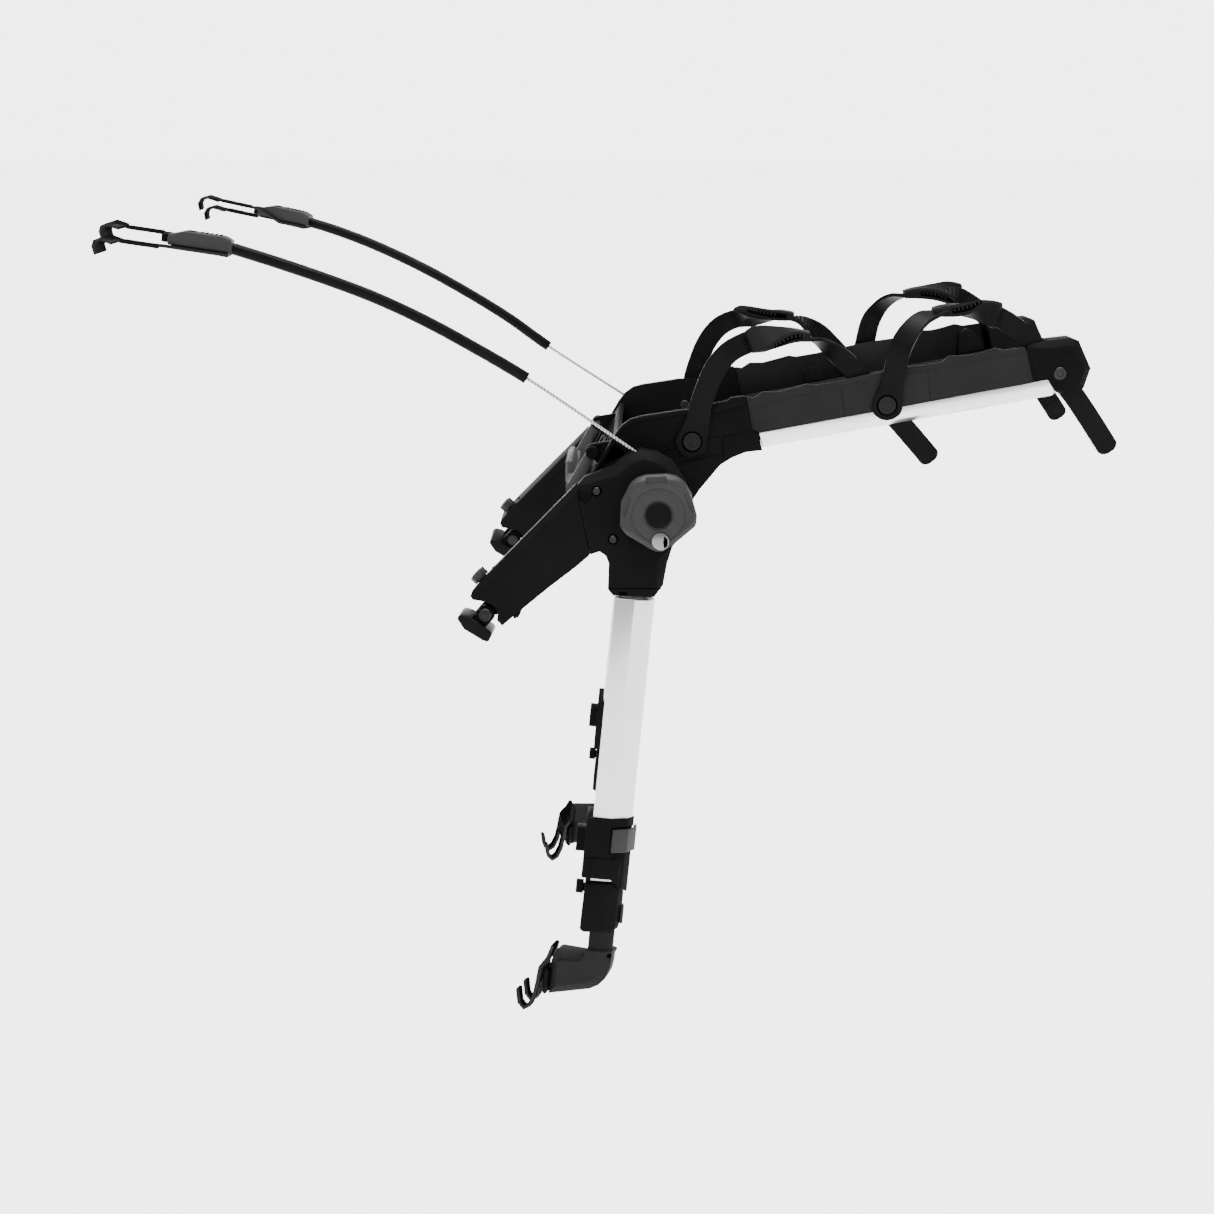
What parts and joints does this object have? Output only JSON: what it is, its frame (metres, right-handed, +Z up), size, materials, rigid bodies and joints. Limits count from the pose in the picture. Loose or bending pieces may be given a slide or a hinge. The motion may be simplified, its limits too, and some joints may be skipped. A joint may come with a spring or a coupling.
{
  "type": "bike rack",
  "caption": "strap-on bicycle rack for a car hatch: splayed side frames with tension knobs, telescoping feet, cable hooks and folding arms with ratchet straps",
  "frame": {"origin": "centre of the hub axle, midway between the two side frames", "axes": "+X away from the car along the carrier arms, +Y along the hub axle to the right side frame, +Z up"},
  "size_m": [0.9931, 0.5074, 0.8051],
  "materials": {
    "black_plastic": "moulded black plastic, satin",
    "dark_plastic": "moulded charcoal plastic, fine grain",
    "grey_plastic": "moulded mid grey plastic",
    "light_grey_plastic": "moulded light grey plastic",
    "aluminium": "extruded, fine drawn lines",
    "steel_dark": "dark coated steel",
    "steel_bright": "bare bright steel",
    "rubber": "black rubber",
    "cable_coat": "black coated cable sleeve"
  },
  "bodies": {
    "side_frames": {"housing_right": "black_plastic", "housing_left": "black_plastic", "leg_right": "black_plastic", "leg_left": "black_plastic", "foot_screw_right": "steel_dark", "foot_screw_left": "steel_dark", "pillar_right": "aluminium", "pillar_left": "aluminium", "lower_collar_right": "black_plastic", "lower_collar_left": "black_plastic", "cable_right": "steel_bright", "cable_left": "steel_bright", "cable_sleeve_right": "cable_coat", "cable_sleeve_left": "cable_coat", "cable_buckle_right": "grey_plastic", "cable_buckle_left": "grey_plastic", "cable_hook_right": "steel_dark", "cable_hook_left": "steel_dark", "hub_axle": "steel_dark"},
    "carrier_arms": {"arm_bracket": "black_plastic", "arm_cover_right": "dark_plastic", "arm_cover_left": "dark_plastic", "arm_rail_right": "aluminium", "arm_rail_left": "aluminium", "end_cap_right": "black_plastic", "end_cap_left": "black_plastic", "strap_front_right": "rubber", "strap_front_left": "rubber", "strap_rear_right": "rubber", "strap_rear_left": "rubber"},
    "release_lever": {"release_handle": "light_grey_plastic"},
    "tension_knob_right_body": {"tension_knob_right": "grey_plastic"},
    "knob_lock_right_body": {"knob_lock_right": "steel_bright"},
    "leg_knob_right_body": {"leg_knob_right": "grey_plastic"},
    "foot_right_body": {"foot_bracket_right": "black_plastic", "foot_pad_right": "rubber"},
    "release_button_right_body": {"release_button_right": "grey_plastic"},
    "lower_leg_right": {"inner_tube_right": "aluminium", "cup_right": "black_plastic"},
    "clamp_knob_right_body": {"clamp_knob_right": "black_plastic"},
    "hatch_foot_right": {"lower_foot_right": "dark_plastic", "foot_cap_right": "rubber", "foot_hook_right": "steel_dark"},
    "buckle_front_right_body": {"buckle_front_right": "black_plastic"},
    "buckle_rear_right_body": {"buckle_rear_right": "black_plastic"},
    "tension_knob_left_body": {"tension_knob_left": "grey_plastic"},
    "knob_lock_left_body": {"knob_lock_left": "steel_bright"},
    "leg_knob_left_body": {"leg_knob_left": "grey_plastic"},
    "foot_left_body": {"foot_bracket_left": "black_plastic", "foot_pad_left": "rubber"},
    "release_button_left_body": {"release_button_left": "grey_plastic"},
    "lower_leg_left": {"inner_tube_left": "aluminium", "cup_left": "black_plastic"},
    "clamp_knob_left_body": {"clamp_knob_left": "black_plastic"},
    "hatch_foot_left": {"lower_foot_left": "dark_plastic", "foot_cap_left": "rubber", "foot_hook_left": "steel_dark"},
    "buckle_front_left_body": {"buckle_front_left": "black_plastic"},
    "buckle_rear_left_body": {"buckle_rear_left": "black_plastic"}
  },
  "joints": [
    {"name": "arm_fold", "type": "hinge", "parent": "side_frames", "child": "carrier_arms", "pos_m": [0, 0, 0], "axis": [0, 1, 0], "range_deg": [0, 100]},
    {"name": "release_lever_lift", "type": "hinge", "parent": "carrier_arms", "child": "release_lever", "pos_m": [-0.067, 0, 0.046], "axis": [0, 1, 0], "range_deg": [0, 40], "stiffness_Nm_per_rad": 0.8, "springref_deg": -20.05},
    {"name": "tension_knob_right_turn", "type": "hinge", "parent": "side_frames", "child": "tension_knob_right_body", "pos_m": [0, 0.22786, 0.00323], "axis": [0, 0.9962, 0.0872], "continuous": true},
    {"name": "knob_lock_right_turn", "type": "hinge", "parent": "tension_knob_right_body", "child": "knob_lock_right_body", "pos_m": [0.002, 0.23801, -0.02098], "axis": [0, 0.9962, 0.0872], "range_deg": [0, 90]},
    {"name": "leg_knob_right_turn", "type": "hinge", "parent": "side_frames", "child": "leg_knob_right_body", "pos_m": [-0.1735, 0.19689, -0.06734], "axis": [-0.7361, -0.059, 0.6743], "continuous": true},
    {"name": "foot_right_tilt", "type": "hinge", "parent": "side_frames", "child": "foot_right_body", "pos_m": [-0.169, 0.1998, -0.10062], "axis": [0, 0.9962, 0.0872], "range_deg": [-12, 12]},
    {"name": "release_button_right_press", "type": "slide", "parent": "side_frames", "child": "release_button_right_body", "axis": [-0.9954, -0.0083, 0.0951], "range_m": [0, 0.0015], "stiffness_N_per_m": 1500, "springref_m": -0.001},
    {"name": "lower_leg_right_extend", "type": "slide", "parent": "side_frames", "child": "lower_leg_right", "axis": [-0.0955, 0.0868, -0.9916], "range_m": [0, 0.1]},
    {"name": "clamp_knob_right_turn", "type": "hinge", "parent": "lower_leg_right", "child": "clamp_knob_right_body", "pos_m": [-0.07644, 0.22414, -0.37881], "axis": [-0.9954, -0.0083, 0.0951], "continuous": true},
    {"name": "hatch_foot_right_swivel", "type": "hinge", "parent": "lower_leg_right", "child": "hatch_foot_right", "pos_m": [-0.05457, 0.22918, -0.43645], "axis": [0.0955, -0.0868, 0.9916], "range_deg": [-20, 20]},
    {"name": "buckle_front_right_lift", "type": "hinge", "parent": "carrier_arms", "child": "buckle_front_right_body", "pos_m": [0.147, 0.118, 0.1675], "axis": [0, 1, 0], "range_deg": [0, 50]},
    {"name": "buckle_rear_right_lift", "type": "hinge", "parent": "carrier_arms", "child": "buckle_rear_right_body", "pos_m": [0.304, 0.118, 0.197], "axis": [0, 1, 0], "range_deg": [0, 50]},
    {"name": "tension_knob_left_turn", "type": "hinge", "parent": "side_frames", "child": "tension_knob_left_body", "pos_m": [0, -0.22786, 0.00323], "axis": [0, -0.9962, 0.0872], "continuous": true},
    {"name": "knob_lock_left_turn", "type": "hinge", "parent": "tension_knob_left_body", "child": "knob_lock_left_body", "pos_m": [0.002, -0.23801, -0.02098], "axis": [0, -0.9962, 0.0872], "range_deg": [0, 90]},
    {"name": "leg_knob_left_turn", "type": "hinge", "parent": "side_frames", "child": "leg_knob_left_body", "pos_m": [-0.1735, -0.19689, -0.06734], "axis": [-0.7361, 0.059, 0.6743], "continuous": true},
    {"name": "foot_left_tilt", "type": "hinge", "parent": "side_frames", "child": "foot_left_body", "pos_m": [-0.169, -0.1998, -0.10062], "axis": [0, 0.9962, -0.0872], "range_deg": [-12, 12]},
    {"name": "release_button_left_press", "type": "slide", "parent": "side_frames", "child": "release_button_left_body", "axis": [-0.9954, 0.0083, 0.0951], "range_m": [0, 0.0015], "stiffness_N_per_m": 1500, "springref_m": -0.001},
    {"name": "lower_leg_left_extend", "type": "slide", "parent": "side_frames", "child": "lower_leg_left", "axis": [-0.0955, -0.0868, -0.9916], "range_m": [0, 0.1]},
    {"name": "clamp_knob_left_turn", "type": "hinge", "parent": "lower_leg_left", "child": "clamp_knob_left_body", "pos_m": [-0.07644, -0.22414, -0.37881], "axis": [-0.9954, 0.0083, 0.0951], "continuous": true},
    {"name": "hatch_foot_left_swivel", "type": "hinge", "parent": "lower_leg_left", "child": "hatch_foot_left", "pos_m": [-0.05457, -0.22918, -0.43645], "axis": [0.0955, 0.0868, 0.9916], "range_deg": [-20, 20]},
    {"name": "buckle_front_left_lift", "type": "hinge", "parent": "carrier_arms", "child": "buckle_front_left_body", "pos_m": [0.147, -0.118, 0.1675], "axis": [0, 1, 0], "range_deg": [0, 50]},
    {"name": "buckle_rear_left_lift", "type": "hinge", "parent": "carrier_arms", "child": "buckle_rear_left_body", "pos_m": [0.304, -0.118, 0.197], "axis": [0, 1, 0], "range_deg": [0, 50]}
  ]
}
